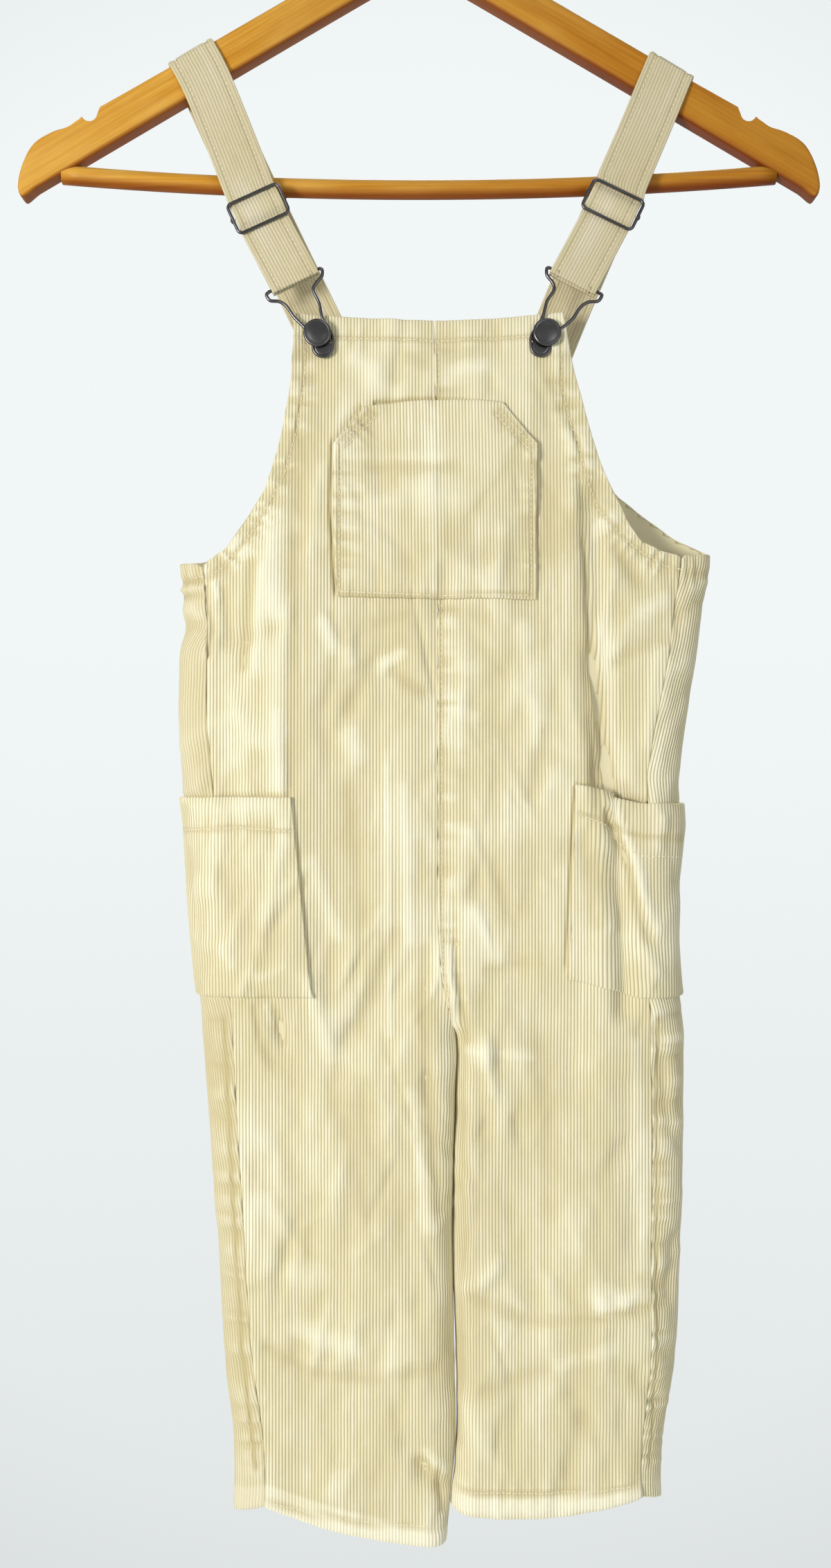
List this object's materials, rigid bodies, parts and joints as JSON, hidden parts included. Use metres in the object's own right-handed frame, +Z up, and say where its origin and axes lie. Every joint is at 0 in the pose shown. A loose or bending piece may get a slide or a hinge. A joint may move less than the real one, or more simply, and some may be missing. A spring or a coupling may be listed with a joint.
{
  "type": "bib overalls on a wooden hanger",
  "caption": "Toddler's sand corduroy bib overalls hung flat by two adjustable straps on a wooden hanger.",
  "frame": {"origin": "top of the inside of the hanger's hook, on the hook's middle plane", "axes": "+Z up along the hanging garment, -Y out of the garment's front, +X to the viewer's right when facing the front"},
  "size_m": [0.4492, 0.0411, 0.9877],
  "materials": {
    "corduroy": "cut pile in fine upright wales with a soft sheen",
    "honey_wood": "satin lacquer",
    "black_nickel": "polished black nickel plate",
    "chrome": "polished"
  },
  "bodies": {
    "root": {"front_left": "corduroy", "front_right": "corduroy", "back_left": "corduroy", "back_right": "corduroy", "bib_pocket": "corduroy", "side_pocket_left": "corduroy", "side_pocket_right": "corduroy", "strap_left": "corduroy", "strap_right": "corduroy", "slider_left": "black_nickel", "slider_right": "black_nickel", "slider_bar_left": "black_nickel", "slider_bar_right": "black_nickel", "clip_left": "black_nickel", "clip_right": "black_nickel", "clip_plate_left": "black_nickel", "clip_plate_right": "black_nickel", "button_left": "black_nickel", "button_right": "black_nickel", "hanger_arms": "honey_wood", "trouser_bar_left": "honey_wood", "trouser_bar_right": "honey_wood", "hanger_hook": "chrome"}
  },
  "joints": []
}
